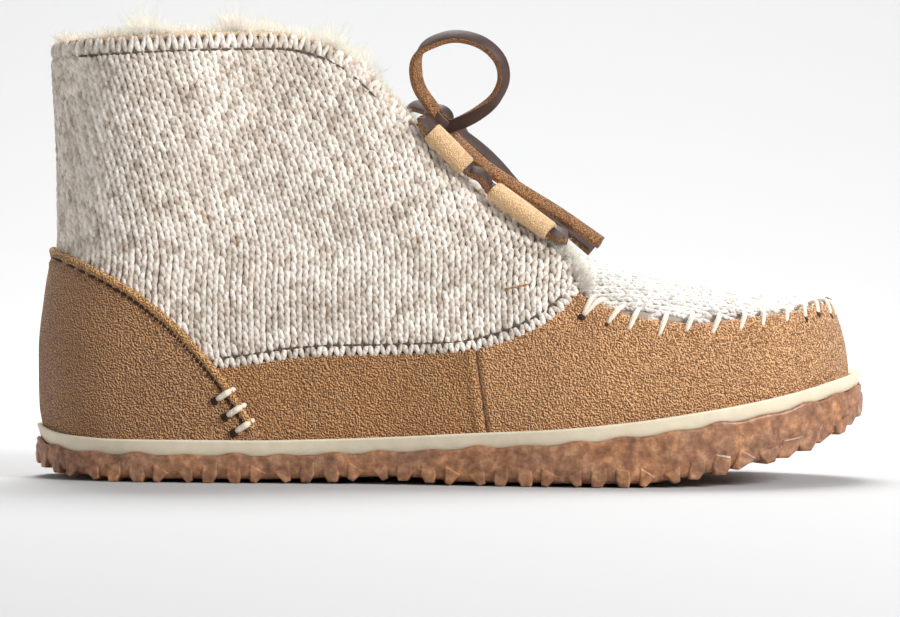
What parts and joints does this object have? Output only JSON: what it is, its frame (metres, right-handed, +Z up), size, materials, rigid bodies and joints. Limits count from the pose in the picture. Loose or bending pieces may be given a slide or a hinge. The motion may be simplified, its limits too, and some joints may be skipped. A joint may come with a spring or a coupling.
{
  "type": "knitted moccasin ankle boot",
  "caption": "Right ankle boot with a knitted quarter, suede counter and vamp, knitted plug and tongue, fleece collar, lace in side tabs and a lugged gum sole.",
  "frame": {"origin": "centre of the plan's bounding box, on the floor that the sole stands on", "axes": "+X to the toe, +Y to the inner side of the foot, +Z up"},
  "size_m": [0.2691, 0.097, 0.1519],
  "materials": {
    "gum": "glossy translucent brown gum rubber",
    "cream_rubber": "satin cream rubber",
    "knit": "heathered cream and grey stocking-stitch knit over a lining",
    "plug_knit": "off-white stocking-stitch knit",
    "suede": "tan suede with a short nap",
    "fleece": "cream long-haired fleece",
    "lace_leather": "flat leather lace, dark and smooth outside, brown suede inside"
  },
  "bodies": {
    "root": {"outsole": "gum", "midsole": "cream_rubber", "insole": "fleece", "upper": "knit", "heel_counter": "suede", "side_panel_outer": "suede", "side_panel_inner": "suede", "vamp": "suede", "plug_tongue": "plug_knit", "fleece_collar": "fleece", "lace_tab_upper_outer": "suede", "lace_tab_upper_inner": "suede", "lace_tab_lower_outer": "suede", "lace_tab_lower_inner": "suede", "lace_run": "lace_leather", "lace_knot": "lace_leather", "lace_loop_outer": "lace_leather", "lace_loop_inner": "lace_leather", "lace_end_outer": "lace_leather", "lace_end_inner": "lace_leather"}
  },
  "joints": []
}
